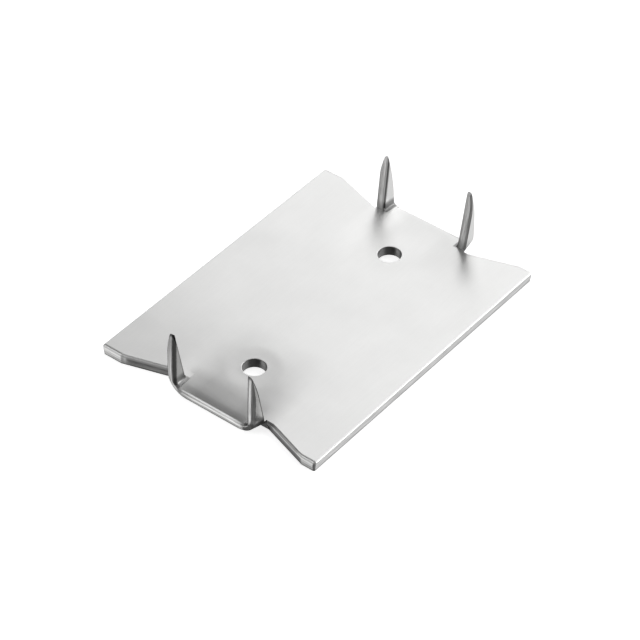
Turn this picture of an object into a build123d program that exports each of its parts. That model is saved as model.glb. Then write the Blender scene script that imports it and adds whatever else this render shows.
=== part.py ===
from build123d import *
from math import atan2, cos, radians, sin, tan
import os

# Nail protector plate: one piece of sheet steel. Both short ends are lanced, and the
# points that the lance cuts free are folded up as teeth, two at each end.
# Origin: middle of the back face. X runs across, Y along, and the teeth stand up in +Z.
# Sizes are in millimetres, angles in degrees.

# The sheet, and the rounding of its top edges where it is slit and where it is lanced
plate_width = 38.1
plate_length = 50.8
sheet_thickness = 1.6
slit_edge_round = 0.25
lance_edge_round = 0.4

# Below its rounded top edge a sheared face has a shiny band, and then it breaks away: the
# band's width on the plate, round the folds, and up the teeth
shiny_band = 0.4
fold_shiny_band = 0.25
tooth_shiny_band = 0.35
break_depth = 0.12

# The punched pattern sits off the sheet's own centreline, and its folds a bit further
pattern_shift = 0.55
fold_shift = 0.8

# The nail holes, on the pattern's centreline
hole_diameter = 3.5
hole_inset = 9.85
hole_edge_round = 0.1

# The lance cuts: what they leave at each corner, and how deep they run in from the end
corner_flat = 2.9
lance_depth = 2.65

# The teeth: the gap between a pair, their height over the back face, and their edges
tooth_gap = 12.7
tooth_thickness = 1.5
tooth_height = 10.8
tooth_edge_round = 0.5
back_edge_round = 0.25
back_break_width = 0.4
back_break_depth = 0.12

# Each fold is a cone: wide at the free end, tight where the lance cut stops
inside_radius_at_end = 0.5
inside_radius_at_root = 0.2
outside_radius_at_end = 3.3
outside_radius_at_root = 1.8

# The points: the outer face starts to lean in at point_start, and the tip is rounded over
point_start = 7.0
point_thickness = 0.95
tip_round_height = 0.4
tip_land = 0.15
tip_inset = 0.25

# The far left tooth came out bent: it leans out, it twists, and its tip is further in
bent_lean = 2.0
bent_gap_at_end = 6.6
bent_gap_at_root = 7.0
bent_tip_inset = 1.1

# The free edge of the tab between a pair of teeth is rolled down a little
tab_roll_angle = 8.0
tab_roll_reach = 3.6

# How far the teeth's strip runs into the plate, and how far a cut runs past what it cuts
root_overlap = 0.3
cut_margin = 1.0
cut_lead = 0.1
tolerance = 0.001

# A face looks along an axis when its outward direction is within this angle of it
facing_angle = 25

# Worked out from the sizes above
half_width = plate_width / 2
half_length = plate_length / 2
half_gap = tooth_gap / 2
tooth_outer = half_gap + tooth_thickness
break_height = sheet_thickness - lance_edge_round - shiny_band
fold_break_height = tooth_thickness - tooth_edge_round - fold_shiny_band
tooth_break_height = tooth_thickness - tooth_edge_round - tooth_shiny_band
lance_mouth = half_width - corner_flat
hole_offset = half_length - hole_inset
strip_depth = lance_depth + root_overlap
bend_top = sheet_thickness + inside_radius_at_end
tab_half_width = half_gap - inside_radius_at_end
tab_lines = half_length - lance_depth
roll_start = sheet_thickness + 2 * inside_radius_at_root
roll_lead = tooth_edge_round * (1 - sin(radians(tab_roll_angle)))
tab_roll_radius = (tab_roll_reach - roll_lead) / sin(radians(tab_roll_angle))
above_teeth = tooth_height + cut_margin
far_above = 2 * above_teeth


def strip_outline(gap, lean, inside_radius, outside_radius):
    """Half of a folded strip, seen from the plate's end: half of the tab, a bend and a tooth."""
    turn = 90 - lean
    tooth_length = Vector(cos(radians(turn)), sin(radians(turn))) * above_teeth
    start_inside = gap - inside_radius
    wider = outside_radius - inside_radius
    offset = tooth_thickness - wider + (wider - sheet_thickness) * cos(radians(turn))
    start_outside = start_inside + offset / sin(radians(turn))
    with BuildLine() as outline:
        back = Line((0, 0), (start_outside, 0))
        heel = JernArc(start=back @ 1, tangent=(1, 0), radius=outside_radius, arc_size=turn)
        outer_face = Line(heel @ 1, heel @ 1 + tooth_length)
        tab = Line((0, sheet_thickness), (start_inside, sheet_thickness))
        bend = JernArc(start=tab @ 1, tangent=(1, 0), radius=inside_radius, arc_size=turn)
        inner_face = Line(bend @ 1, bend @ 1 + tooth_length)
        Line(outer_face @ 1, inner_face @ 1)
        Line(tab @ 0, back @ 0)
    return outline.line


def folded_half(gap_at_end, gap_at_root, lean, inset):
    """Half of a near toothed end, whose free edge is at Y 0: half of the tab and its right tooth."""
    slope = (lance_depth - tip_land - inset) / tooth_height

    def back_edge_point(height):
        """Where the sloping back of the tooth meets its inner face, at a height."""
        depth = lance_depth - slope * height
        gap_there = gap_at_end + (gap_at_root - gap_at_end) * depth / strip_depth
        return Vector(gap_there + (height - bend_top) * tan(radians(lean)), depth, height)

    # What the point leaves out: its outer face leans in, and the tip is rounded over
    twist = atan2(gap_at_root - gap_at_end, strip_depth)
    lean_angle = radians(lean)
    foot_plane = Plane(
        origin=(gap_at_end - cut_margin * tan(twist), -cut_margin, bend_top),
        x_dir=(cos(lean_angle) * cos(twist), -cos(lean_angle) * sin(twist), -sin(lean_angle)),
        z_dir=(-sin(twist), -cos(twist), 0),
    )
    with BuildPart() as beyond_point:
        with BuildSketch(foot_plane):
            with BuildLine():
                tip_top = (tooth_height - bend_top) / cos(lean_angle)
                shoulder = (point_thickness, tip_top - tip_round_height)
                lean_start = (tooth_thickness, point_start - bend_top)
                past_inner_face = (-cut_lead, tip_top - tip_round_height - cut_lead)
                TangentArc(lean_start, shoulder, tangent=(0, 1))
                ThreePointArc(shoulder, (point_thickness / 2, tip_top), past_inner_face)
                Polyline(
                    past_inner_face,
                    (-cut_margin, tip_top - tip_round_height - cut_lead),
                    (-cut_margin, far_above),
                    (tooth_thickness + cut_margin, far_above),
                    (tooth_thickness + cut_margin, point_start - bend_top),
                    lean_start,
                )
            make_face()
        extrude(amount=-strip_depth - 2 * cut_margin)

    end_plane = Plane(origin=(0, 0, 0), x_dir=(1, 0, 0), z_dir=(0, -1, 0))
    root_plane = end_plane.offset(-strip_depth)
    with BuildPart() as half:
        # The strip, folded up round a cone
        with BuildSketch(end_plane):
            with BuildLine():
                add(strip_outline(gap_at_end, lean, inside_radius_at_end, outside_radius_at_end))
            make_face()
        with BuildSketch(root_plane):
            with BuildLine():
                add(strip_outline(gap_at_root, lean, inside_radius_at_root, outside_radius_at_root))
            make_face()
        loft(ruled=True)

        # Above the bend the free edge leans in towards the tip
        with BuildSketch(Plane.YZ):
            with BuildLine():
                foot = (0, bend_top)
                lean_depth = inset * ((above_teeth - bend_top) / (tooth_height - bend_top)) ** 2
                lean_in = TangentArc(foot, (lean_depth, above_teeth), tangent=(0, 1))
                Polyline(
                    lean_in @ 1,
                    (strip_depth + cut_margin, above_teeth),
                    (strip_depth + cut_margin, far_above),
                    (-cut_margin, far_above),
                    (-cut_margin, bend_top),
                    foot,
                )
            make_face()
        extrude(amount=half_width, mode=Mode.SUBTRACT)

        # The sheared end is rolled over along the tab, round the bend and up the tooth
        inside_limit = gap_at_end + above_teeth * tan(lean_angle) / 2 + tolerance
        end_edges = half.edges().filter_by(lambda edge: edge.center().Y < cut_margin)
        rolled_edges = end_edges.filter_by(
            lambda edge: tolerance < edge.center().X < inside_limit
            and sheet_thickness - tolerance < edge.center().Z < above_teeth - tolerance
            and (edge.center().Z > bend_top or edge.center().Y < tolerance)
        )
        fillet(rolled_edges, tooth_edge_round)

        # and it breaks away towards the outside of the fold
        end_face = half.faces().sort_by(Axis.Y)[0]
        outside_edges = end_face.edges().filter_by(
            lambda edge: edge.center().Z < tolerance or edge.geom_type == GeomType.CIRCLE
        )
        chamfer(outside_edges, fold_break_height, break_depth, reference=end_face)
        end_faces = half.faces().filter_by(
            lambda face: face.normal_at().get_angle(-Axis.Y.direction) < facing_angle
        )
        lean_face = end_faces.sort_by(Axis.Z)[-1]
        upright_edges = lean_face.edges().filter_by(lambda edge: edge.length > bend_top)
        chamfer(upright_edges.sort_by(Axis.X)[-1], tooth_break_height, break_depth, reference=lean_face)

        add(beyond_point.part, mode=Mode.SUBTRACT)

        # The lance cut slopes the tooth back from its tip to its root, and its outer edge breaks away
        root_y = back_edge_point(sheet_thickness).Y
        top_y = back_edge_point(above_teeth).Y
        with BuildSketch(Plane.YZ):
            Polygon(
                (root_y, sheet_thickness),
                (top_y, above_teeth),
                (strip_depth + cut_margin, above_teeth),
                (strip_depth + cut_margin, sheet_thickness),
                align=None,
            )
        extrude(amount=half_width, mode=Mode.SUBTRACT)
        slopes = half.faces().filter_by(
            lambda face: face.normal_at().get_angle(Axis.Y.direction) < facing_angle
        )
        sloping_face = slopes.sort_by(Axis.Z)[-1]
        long_edges = sloping_face.edges().filter_by(lambda edge: edge.length > bend_top)
        chamfer(long_edges.sort_by(Axis.X)[-1], back_break_width, back_break_depth, reference=sloping_face)

        # Its inner edge is rolled over too, from just above the root to the tip
        roll_from = back_edge_point(roll_start)
        roll_to = back_edge_point(above_teeth)
        with BuildSketch(Plane(origin=roll_from, x_dir=(1, 0, 0), z_dir=roll_to - roll_from)):
            with BuildLine():
                rounding = RadiusArc((0, -back_edge_round), (back_edge_round, 0), back_edge_round)
                Polyline(
                    rounding @ 1,
                    (back_edge_round, cut_margin),
                    (-cut_margin, cut_margin),
                    (-cut_margin, -back_edge_round),
                    rounding @ 0,
                )
            make_face()
        extrude(amount=above_teeth, mode=Mode.SUBTRACT)

    return half.part


regular_half = folded_half(half_gap, half_gap, 0, tip_inset)
bent_half = folded_half(bent_gap_at_end, bent_gap_at_root, bent_lean, bent_tip_inset)
near_left = mirror(regular_half, about=Plane.YZ)
far_right = mirror(regular_half, about=Plane.XZ)
far_left = mirror(mirror(bent_half, about=Plane.YZ), about=Plane.XZ)

# The whole plate: the flat blank with its lance cuts and holes, then the two toothed ends
with BuildPart() as protector_plate:
    with BuildSketch():
        Rectangle(plate_width, plate_length)
        with BuildLine():
            Polyline(
                (pattern_shift - lance_mouth, -half_length),
                (fold_shift - tooth_outer, -tab_lines),
                (fold_shift + tooth_outer, -tab_lines),
                (pattern_shift + lance_mouth, -half_length),
                close=True,
            )
        lanced = make_face(mode=Mode.SUBTRACT)
        add(mirror(lanced, about=Plane.XZ, mode=Mode.PRIVATE), mode=Mode.SUBTRACT)
    extrude(amount=sheet_thickness)

    # The top edges are rounded over: a little where the sheet is slit, more where it is lanced
    top_edges = protector_plate.edges().group_by(Axis.Z)[-1]
    fillet(top_edges.filter_by(lambda edge: abs(edge.center().X) > half_width - tolerance), slit_edge_round)
    top_edges = protector_plate.edges().group_by(Axis.Z)[-1]
    fillet(top_edges.filter_by(lambda edge: abs(edge.center().Y) > tab_lines + tolerance), lance_edge_round)

    # Below that, the lanced faces break away towards the back face
    back_edges = protector_plate.edges().group_by(Axis.Z)[0]
    lanced_edges = back_edges.filter_by(lambda edge: abs(edge.center().Y) > tab_lines + tolerance)
    chamfer(lanced_edges, break_depth, break_height)

    # The nail holes, rounded over where the punch went in
    with Locations((pattern_shift, -hole_offset, 0), (pattern_shift, hole_offset, 0)):
        Hole(hole_diameter / 2)
    rims = protector_plate.edges().filter_by(GeomType.CIRCLE).group_by(Axis.Z)[-1]
    fillet(rims.filter_by(lambda edge: abs(edge.radius - hole_diameter / 2) < tolerance), hole_edge_round)

    with Locations((fold_shift, -half_length, 0)):
        add(regular_half)
        add(near_left)
    with Locations((fold_shift, half_length, 0)):
        add(far_right)
        add(far_left)

    # The free edge of each tab rolls down: a long shallow arc runs into the tight sheared edge
    with BuildSketch(Plane.YZ.offset(fold_shift)) as roll:
        with BuildLine():
            shallow = JernArc(
                start=(-half_length + tab_roll_reach, sheet_thickness),
                tangent=(-1, 0),
                radius=tab_roll_radius,
                arc_size=tab_roll_angle,
            )
            tight = JernArc(
                start=shallow @ 1,
                tangent=shallow % 1,
                radius=tooth_edge_round,
                arc_size=90 - tab_roll_angle,
            )
            outside = -half_length - cut_margin
            Polyline(
                tight @ 1,
                (outside, (tight @ 1).Y),
                (outside, sheet_thickness + cut_margin),
                (-half_length + tab_roll_reach, sheet_thickness + cut_margin),
                shallow @ 0,
            )
        make_face()
        mirror(about=Plane.YZ)
    extrude(amount=tab_half_width, both=True, mode=Mode.SUBTRACT)

protector_plate.part.label = "protector_plate"

os.makedirs("parts", exist_ok=True)
export_step(protector_plate.part, "parts/protector_plate.step")
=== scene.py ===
import bpy
from math import cos, radians, sin
from mathutils import Matrix, Vector

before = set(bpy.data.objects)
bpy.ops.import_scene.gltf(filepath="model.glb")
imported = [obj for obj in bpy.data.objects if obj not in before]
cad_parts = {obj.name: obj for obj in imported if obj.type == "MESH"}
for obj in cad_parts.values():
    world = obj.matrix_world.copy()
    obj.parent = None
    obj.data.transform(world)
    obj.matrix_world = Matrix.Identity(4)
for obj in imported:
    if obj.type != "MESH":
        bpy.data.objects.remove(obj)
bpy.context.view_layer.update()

# The protector plate is one stamping of 16-gauge galvanised sheet: slit to width from coil,
# lanced and pierced, and its four points folded up in one press stroke. It keeps the bright
# satin zinc of the mill on its faces, and shows torn grey steel where the press cut it.
plate = bpy.data.objects["protector_plate"]

# The plate's own sizes, in millimetres
half_length = 25.4
half_width = 19.05
sheet_thickness = 1.6
tooth_thickness = 1.5
pattern_shift = 0.55
fold_shift = 0.8
half_gap = 6.35
inside_bend_radius = 0.5
tooth_outer = half_gap + tooth_thickness
bend_top = sheet_thickness + inside_bend_radius
hole_radius = 1.75
hole_offset = 15.55
lance_root = 22.75
back_slope = 0.2083
bent_tooth_set_out = 0.25
bent_tooth_lean = 0.035
bent_tooth_twist = 0.136
tab_roll_start = 21.8

# How the press drew the sheet down: how far from the middle it starts, over what length it
# curves, and how strongly
sag_start = 7.5
sag_length = 10.0
sag_between_folds = -0.0035
sag_at_left = -0.0015
sag_at_right = -0.0002
tab_roll_blend = 2.0
tab_roll_step = 2.44
tab_roll_ease = -0.0095
lip_length = 1.6
lip_roll = -0.045
corner_lip_length = 0.6
corner_lip_roll = -0.35
hole_rim_reach = 4.5
hole_rim_sink = -0.045

# How light the metal is, and how rough
skin_shade = 0.80
cut_shade = 0.66
# The hole walls' tone is painted shade
hole_wall_painted_shade = 0.1
skin_roughness = 0.35
shiny_cut_roughness = 0.3
torn_cut_roughness = 0.42

steel = bpy.data.materials.new("zinc_coated_steel")
steel.use_nodes = True
wires = steel.node_tree
shader = wires.nodes["Principled BSDF"]


def calc(operation, first, second=None):
    """One sum on the steel's surface: each value is a number or the end of another node."""
    node = wires.nodes.new("ShaderNodeMath")
    node.operation = operation
    for socket, value in zip(node.inputs, (first, second)):
        if value is None:
            continue
        if isinstance(value, (int, float)):
            socket.default_value = value
        else:
            wires.links.new(value, socket)
    return node.outputs[0]


def plus(total, *others):
    """Several values added up."""
    for other in others:
        total = calc("ADD", total, other)
    return total


def minus(first, second):
    """The first value less the second."""
    return calc("SUBTRACT", first, second)


def times(product, *others):
    """Several values multiplied together."""
    for other in others:
        product = calc("MULTIPLY", product, other)
    return product


def larger(first, second):
    """The larger of two values."""
    return calc("MAXIMUM", first, second)


def size_of(value):
    """A value without its sign."""
    return calc("ABSOLUTE", value)


def beyond(value, start):
    """How far a value is past its start, and 0 before it."""
    return larger(minus(value, start), 0.0)


def distance(first, second):
    """The length of the slope over two distances at right angles."""
    return calc("SQRT", plus(times(first, first), times(second, second)))


def ramp_up(value, low, high):
    """A soft step: 0 below low, 1 above high (or the other way round if low is above high)."""
    node = wires.nodes.new("ShaderNodeMapRange")
    node.interpolation_type = "SMOOTHSTEP"
    wires.links.new(value, node.inputs["Value"])
    node.inputs["From Min"].default_value = min(low, high)
    node.inputs["From Max"].default_value = max(low, high)
    node.inputs["To Min"].default_value = 0.0 if low < high else 1.0
    node.inputs["To Max"].default_value = 1.0 if low < high else 0.0
    return node.outputs["Result"]


def blend(share, low, high):
    """A value that goes from low to high as the share goes from 0 to 1."""
    node = wires.nodes.new("ShaderNodeMix")
    wires.links.new(share, node.inputs["Factor"])
    for socket, value in ((node.inputs["A"], low), (node.inputs["B"], high)):
        if isinstance(value, (int, float)):
            socket.default_value = value
        else:
            wires.links.new(value, socket)
    return node.outputs["Result"]


def noise(vector, scale, detail):
    """Cloudy noise over a vector, from 0 to 1."""
    node = wires.nodes.new("ShaderNodeTexNoise")
    node.inputs["Scale"].default_value = scale
    node.inputs["Detail"].default_value = detail
    wires.links.new(vector, node.inputs["Vector"])
    return node.outputs["Fac"]


def grain(stretch, scale, detail):
    """Noise in millimetres on the plate, stretched along an axis by a scale below one."""
    squeeze = wires.nodes.new("ShaderNodeMapping")
    squeeze.inputs["Scale"].default_value = stretch
    wires.links.new(millimetres, squeeze.inputs["Vector"])
    return noise(squeeze.outputs["Vector"], scale, detail)


def bumped(height, reach, strength):
    """A surface raised by the height, where a height of 1 is the reach in metres."""
    node = wires.nodes.new("ShaderNodeBump")
    node.inputs["Distance"].default_value = reach
    node.inputs["Strength"].default_value = strength
    wires.links.new(height, node.inputs["Height"])
    return node


# Places on the plate, in millimetres from the middle of its back face, and where it faces
place = wires.nodes.new("ShaderNodeTexCoord")
to_millimetres = wires.nodes.new("ShaderNodeMapping")
to_millimetres.inputs["Scale"].default_value = (1000, 1000, 1000)
wires.links.new(place.outputs["Object"], to_millimetres.inputs["Vector"])
millimetres = to_millimetres.outputs["Vector"]
axes = wires.nodes.new("ShaderNodeSeparateXYZ")
wires.links.new(millimetres, axes.inputs[0])
x_place, y_place, z_place = axes.outputs
surface = wires.nodes.new("ShaderNodeNewGeometry")
facing = wires.nodes.new("ShaderNodeSeparateXYZ")
wires.links.new(surface.outputs["Normal"], facing.inputs[0])
facing_x, facing_y, facing_z = facing.outputs
facing_side = size_of(facing_x)
facing_end = size_of(facing_y)
facing_up = size_of(facing_z)
off_centre = size_of(minus(x_place, pattern_shift))
off_fold = size_of(minus(x_place, fold_shift))
along = size_of(y_place)
near = ramp_up(y_place, 0.5, -0.5)
far = ramp_up(y_place, -0.5, 0.5)

# The far left tooth was folded short and leans out, so its faces lie further from the middle
bent = times(ramp_up(y_place, 20.0, 20.5), ramp_up(x_place, 0.0, -0.5))
leaning = times(beyond(z_place, bend_top), bent_tooth_lean)
twisted = times(minus(half_length, along), bent_tooth_twist)
set_out = times(bent, plus(bent_tooth_set_out, leaning, twisted))
from_fold = minus(off_fold, set_out)

# How deep a point lies in the sheet, from its top face: the folded strip's top face runs
# across the tab, round the bend and up the inside of each tooth
past_bend = minus(from_fold, half_gap - inside_bend_radius)
below_bend = minus(bend_top, z_place)
round_part = distance(larger(past_bend, 0.0), larger(below_bend, 0.0))
inner_part = calc("MINIMUM", larger(past_bend, below_bend), 0.0)
fold_depth = minus(plus(round_part, inner_part), inside_bend_radius)
flat_depth = minus(sheet_thickness, z_place)
in_fold = ramp_up(from_fold, tooth_outer + 0.06, tooth_outer)
upright = ramp_up(z_place, sheet_thickness, sheet_thickness + 0.1)
depth = blend(larger(in_fold, upright), flat_depth, fold_depth)

# Where the press cut the sheet: the ends, the slit long sides and the walls of the two holes.
# Each cut starts under the edge that the punch rolled over. Lower down the ends are torn, and
# the last of the cut is a burr, darkened with painted contact shade along the bottom edge.
# Only the near left tooth is torn all the way down
to_hole = distance(off_centre, minus(along, hole_offset))
at_side = ramp_up(size_of(x_place), half_width - 0.5, half_width - 0.3)
cut_end = times(ramp_up(facing_end, 0.45, 0.7), ramp_up(depth, 0.3, 0.5))
cut_side = times(ramp_up(facing_side, 0.5, 0.85), at_side, ramp_up(depth, 0.1, 0.25))
at_hole_wall = ramp_up(to_hole, hole_radius + 0.3, hole_radius + 0.2)
cut_hole = times(ramp_up(facing_up, 0.8, 0.4), at_hole_wall)
cut = larger(cut_end, larger(cut_side, cut_hole))
clean_tooth = times(upright, larger(ramp_up(x_place, 3.0, 4.0), far))
torn = times(cut_end, ramp_up(depth, 0.75, 0.9), blend(clean_tooth, 1.0, 0.5))
burr_and_contact_shade = times(cut, ramp_up(depth, 1.32, 1.42), blend(clean_tooth, 1.0, 0.35))

# The blind corner where each lance cut stops, and the cut of the near right notch, are
# darkened with painted shade
to_root = distance(minus(from_fold, tooth_outer - 0.35), minus(along, lance_root))
at_blind_corner = times(ramp_up(to_root, 2.2, 1.2), ramp_up(z_place, 3.4, 1.9))
lance_corner_shade = times(at_blind_corner, ramp_up(facing_up, 0.9, 0.6), blend(near, 0.55, 1.0))
in_right_notch = times(ramp_up(x_place, 8.9, 9.6), ramp_up(x_place, 16.9, 16.5))
right_notch_shade = times(cut_end, near, in_right_notch)

# The near teeth are outlined by a dark line along their slanted backs. The near right one has
# painted shade on its outer face, most of all towards its cut end, and painted shadow on its
# heel, the tight outside of its bend. The near left one is darker towards its tip
to_back = minus(minus(along, lance_root), times(z_place, back_slope))
above_bend = ramp_up(z_place, bend_top, bend_top + 0.5)
back_line = times(upright, near, ramp_up(to_back, 0.34, 0.22), above_bend)
outer_face = times(upright, near, ramp_up(facing_x, 0.6, 0.8), ramp_up(x_place, 7.0, 7.5))
outer_end_shade = times(outer_face, ramp_up(along, 23.6, 25.2))
under_right_tooth = times(ramp_up(x_place, 6.0, 6.6), ramp_up(x_place, 9.6, 9.2))
in_tooth_strip = ramp_up(along, lance_root - 0.4, lance_root)
heel = times(near, under_right_tooth, in_tooth_strip, ramp_up(facing_z, 0.1, -0.15))
heel = times(heel, ramp_up(z_place, 3.4, 2.2))
darker_tip = times(cut_end, near, ramp_up(x_place, 4.0, 3.0), ramp_up(z_place, 4.5, 9.0))

# The near tab's front and the backs of the far teeth are brightened with painted light
on_tab = times(ramp_up(off_fold, 6.2, 5.6), ramp_up(depth, 1.4, 1.3))
tab_front_light = times(cut_end, near, on_tab)
far_cut_light = times(cut_end, upright, far)

# Painted shade lies inside the folds and up the inside of the near teeth, and on the rolled
# edges of the teeth that face the near right
inner_bend_end = ramp_up(from_fold, half_gap + 0.45, half_gap + 0.3)
inner_bend = times(ramp_up(from_fold, half_gap - 0.7, half_gap - 0.4), inner_bend_end)
past_root = ramp_up(along, lance_root - 0.1, lance_root + 0.3)
inside_fold = times(inner_bend, ramp_up(depth, 0.35, 0.2), past_root)
low_inside = ramp_up(z_place, bend_top + 1.2, bend_top + 0.4)
painted_inside_shade = times(inside_fold, larger(near, low_inside))
near_right_facing_shade = times(ramp_up(facing_x, 0.15, 0.4), ramp_up(facing_y, -0.15, -0.35), upright)

# The look: satin zinc with a faint cloud and rolling grain. The cuts are streaked along their
# length
cloud = grain((1, 1, 1), 0.16, 3.0)
rolling = grain((6, 0.25, 6), 1.1, 4.0)
fine = grain((1, 1, 1), 9.0, 3.0)
along_cut = wires.nodes.new("ShaderNodeCombineXYZ")
wires.links.new(times(depth, 5.0), along_cut.inputs["X"])
wires.links.new(times(plus(x_place, z_place), 0.35), along_cut.inputs["Y"])
wires.links.new(times(y_place, 0.35), along_cut.inputs["Z"])
streaks = noise(along_cut.outputs["Vector"], 1.0, 3.0)
skin_tone = plus(skin_shade, times(minus(cloud, 0.5), 0.08), times(minus(rolling, 0.5), 0.04))
cut_tone = plus(cut_shade, times(minus(streaks, 0.5), 0.9))
tone = blend(cut, skin_tone, cut_tone)
# Painted shade: the contact shade along the burr, the blind lance corners, the near right
# notch, the edges facing the near right, the insides of the folds, and the near right tooth's
# outer face and heel. Painted light: the tab's front and the far teeth's backs. The torn cuts
# are the metal's own tone
for patch, brightness in (
    (torn, 0.85),
    (burr_and_contact_shade, 0.35),
    (lance_corner_shade, 0.35),
    (right_notch_shade, 0.3),
    (darker_tip, 0.68),
    (near_right_facing_shade, 0.4),
    (painted_inside_shade, blend(bent, blend(low_inside, 0.72, 0.42), 0.35)),
    (back_line, 0.22),
    (outer_face, 0.85),
    (outer_end_shade, 0.6),
    (heel, 0.15),
    (tab_front_light, 1.25),
    (far_cut_light, 1.2),
):
    tone = times(tone, blend(patch, 1.0, brightness))
# The hole walls are painted near black with a little grain: painted shade inside the holes
tone = blend(cut_hole, tone, plus(hole_wall_painted_shade, times(fine, 0.16)))
colour = wires.nodes.new("ShaderNodeCombineColor")
wires.links.new(tone, colour.inputs["Red"])
wires.links.new(tone, colour.inputs["Green"])
wires.links.new(times(tone, 0.992), colour.inputs["Blue"])
wires.links.new(colour.outputs["Color"], shader.inputs["Base Color"])

# The skin is satin, the cuts are smoother where they were sheared and rougher where they
# tore, and the heel and the blind corners, under painted shade, are kept from shining like
# metal
on_skin = plus(skin_roughness, times(minus(fine, 0.5), 0.06))
on_cut = blend(torn, shiny_cut_roughness, torn_cut_roughness)
wires.links.new(blend(cut, on_skin, on_cut), shader.inputs["Roughness"])
bare_metal = blend(larger(heel, times(lance_corner_shade, 0.5)), 1.0, 0.0)
wires.links.new(bare_metal, shader.inputs["Metallic"])
wires.links.new(times(bare_metal, 0.5), shader.inputs["Specular IOR Level"])

# The press drew the sheet down a little towards the near and far folds and round each hole,
# rolled the tabs down from a soft start, and rolled over the tabs' and the corners' lips
to_end = beyond(along, sag_start)
curling = calc("MINIMUM", to_end, sag_length)
sag_beside = blend(ramp_up(x_place, -12.0, 14.0), sag_at_left, sag_at_right)
sag_strength = blend(ramp_up(off_fold, 9.5, 3.0), sag_beside, sag_between_folds)
sag = times(curling, minus(times(to_end, 2.0), curling), sag_strength)
before_roll = beyond(along, tab_roll_start - tab_roll_blend)
in_roll = beyond(along, tab_roll_start)
past_roll_start = beyond(along, tab_roll_start + tab_roll_blend)
eased = minus(times(before_roll, before_roll), times(in_roll, in_roll, 2.0))
eased = plus(eased, times(past_roll_start, past_roll_start))
eased = minus(eased, times(in_roll, tab_roll_step))
eased = times(eased, blend(ramp_up(off_fold, 7.6, 5.9), 0.0, tab_roll_ease))
past_lip = beyond(along, half_length - lip_length)
lip = times(past_lip, past_lip, blend(ramp_up(off_fold, 6.2, 5.2), 0.0, lip_roll))
past_flat = beyond(along, half_length - corner_lip_length)
at_corner = ramp_up(off_centre, 14.9, 15.8)
corner_lip = times(past_flat, past_flat, blend(at_corner, 0.0, corner_lip_roll))
drawn_in = times(ramp_up(to_hole, hole_rim_reach, hole_radius), hole_rim_sink)
sunk = bumped(plus(sag, drawn_in, corner_lip, eased, lip), 0.001, 1.0)
texture = plus(times(cloud, 0.6), blend(cut, times(fine, 0.02), times(streaks, 0.8)))
bump = bumped(texture, 0.0001, 0.35)
wires.links.new(sunk.outputs["Normal"], bump.inputs["Normal"])
wires.links.new(bump.outputs["Normal"], shader.inputs["Normal"])
plate.data.materials.clear()
plate.data.materials.append(steel)

# The stage is a white sweep that the loose plate lies on with its teeth up. It lights the
# plate's underside softly, and stays out of the bright metal's own reflections.
bpy.ops.mesh.primitive_plane_add(size=3.0, location=(0, 0, 0))
floor = bpy.context.object
floor.name = "floor"
white = bpy.data.materials.new("white_sweep")
white.use_nodes = True
paint = white.node_tree.nodes["Principled BSDF"].inputs
paint["Base Color"].default_value = (0.93, 0.93, 0.93, 1.0)
paint["Roughness"].default_value = 0.9
paint["Specular IOR Level"].default_value = 0.1
paint["Emission Color"].default_value = (1.0, 1.0, 1.0, 1.0)
paint["Emission Strength"].default_value = 0.75
floor.data.materials.append(white)
floor.visible_glossy = False

# The photograph's own view, worked out from the plate's four corners: the camera looks down
# on the near end from its right, with a long lens.
camera_azimuth = radians(37.97)
camera_elevation = radians(41.74)
camera_roll = radians(0.55)
camera_distance = 0.4274
picture_size = 640.0
focal_pixels = 2989.0
aim_right = 0.00004
aim_up = 0.00053
across = Vector((cos(camera_azimuth), sin(camera_azimuth), 0))
forward = Vector((
    -sin(camera_azimuth) * cos(camera_elevation),
    cos(camera_azimuth) * cos(camera_elevation),
    -sin(camera_elevation),
))
up = across.cross(forward)
rolled_across = across * cos(camera_roll) + up * sin(camera_roll)
rolled_up = up * cos(camera_roll) - across * sin(camera_roll)
lens = bpy.data.cameras.new("camera")
lens.sensor_width = 36.0
lens.lens = focal_pixels / picture_size * lens.sensor_width
lens.clip_start = 0.01
camera = bpy.data.objects.new("camera", lens)
pose = Matrix((rolled_across, rolled_up, -forward)).transposed().to_4x4()
pose.translation = -(rolled_across * aim_right + rolled_up * aim_up + forward * camera_distance)
camera.matrix_world = pose
bpy.context.scene.collection.objects.link(camera)
bpy.context.scene.camera = camera
bpy.context.scene.view_settings.view_transform = "Standard"

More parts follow.
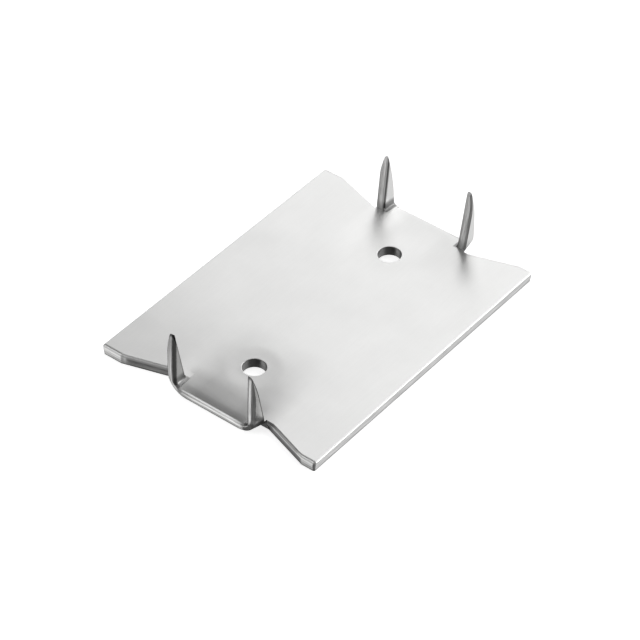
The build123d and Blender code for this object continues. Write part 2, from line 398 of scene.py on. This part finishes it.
# The studio: a pale room with soft boxes and dark flags round the plate. Each is a direction
# (turned left from straight behind the plate, then up), how wide it is, how far its edge
# fades, and its strength. A flag dims the part of the room listed before it.
world = bpy.data.worlds.new("studio")
world.use_nodes = True
room = world.node_tree
direction = room.nodes.new("ShaderNodeTexCoord").outputs["Generated"]
base_light = 0.25
studio_lights = (
    ("flag", 75, 62, 12, 34, 0.6),
    ("flag", 128, -10, 25, 60, 0.5),
    ("flag", -128, -41, 25, 55, 0.2),
    ("flag", 180, -41, 10, 30, 0.5),
    ("soft box", 5, 25, 31, 44, 1.3),
    ("flag", 30, 23, 6, 16, 0.5),
    ("soft box", -52, 8, 10, 22, 3.0),
    ("soft box", -60, 42, 8, 20, 0.5),
    ("soft box", 55, 8, 8, 20, 0.8),
    ("soft box", 0, 90, 8, 20, 0.5),
    ("soft box", 143, 30, 8, 18, 1.0),
    ("soft box", 142, 44, 8, 20, 0.5),
    ("soft box", 149, -25, 7, 18, 0.8),
    ("soft box", 142, -3, 8, 22, 0.5),
    ("soft box", 124, -41, 12, 26, 0.8),
    ("soft box", -38, -41, 25, 45, 0.6),
)


def soft_patch(turned, raised, inner, outer):
    """1 within the inner angle of a direction, fading to 0 at the outer angle."""
    towards = room.nodes.new("ShaderNodeVectorMath")
    towards.operation = "DOT_PRODUCT"
    towards.inputs[1].default_value = (
        -sin(radians(turned)) * cos(radians(raised)),
        cos(radians(turned)) * cos(radians(raised)),
        sin(radians(raised)),
    )
    room.links.new(direction, towards.inputs[0])
    fade = room.nodes.new("ShaderNodeMapRange")
    fade.interpolation_type = "SMOOTHSTEP"
    fade.inputs["From Min"].default_value = cos(radians(outer))
    fade.inputs["From Max"].default_value = cos(radians(inner))
    room.links.new(towards.outputs["Value"], fade.inputs["Value"])
    return fade.outputs["Result"]


def join(operation, first, second):
    """Adds or multiplies two brightnesses."""
    node = room.nodes.new("ShaderNodeMath")
    node.operation = operation
    for socket, value in zip(node.inputs, (first, second)):
        if isinstance(value, float):
            socket.default_value = value
        else:
            room.links.new(value, socket)
    return node.outputs[0]


room_light = base_light
for kind, turned, raised, inner, outer, strength in studio_lights:
    patch = soft_patch(turned, raised, inner, outer)
    if kind == "flag":
        dimmed = join("ADD", join("MULTIPLY", patch, -strength), 1.0)
        room_light = join("MULTIPLY", room_light, dimmed)
    else:
        room_light = join("ADD", room_light, join("MULTIPLY", patch, strength))
room.links.new(room_light, room.nodes["Background"].inputs["Strength"])
room.nodes["Background"].inputs["Color"].default_value = (1.0, 1.0, 1.0, 1.0)
bpy.context.scene.world = world
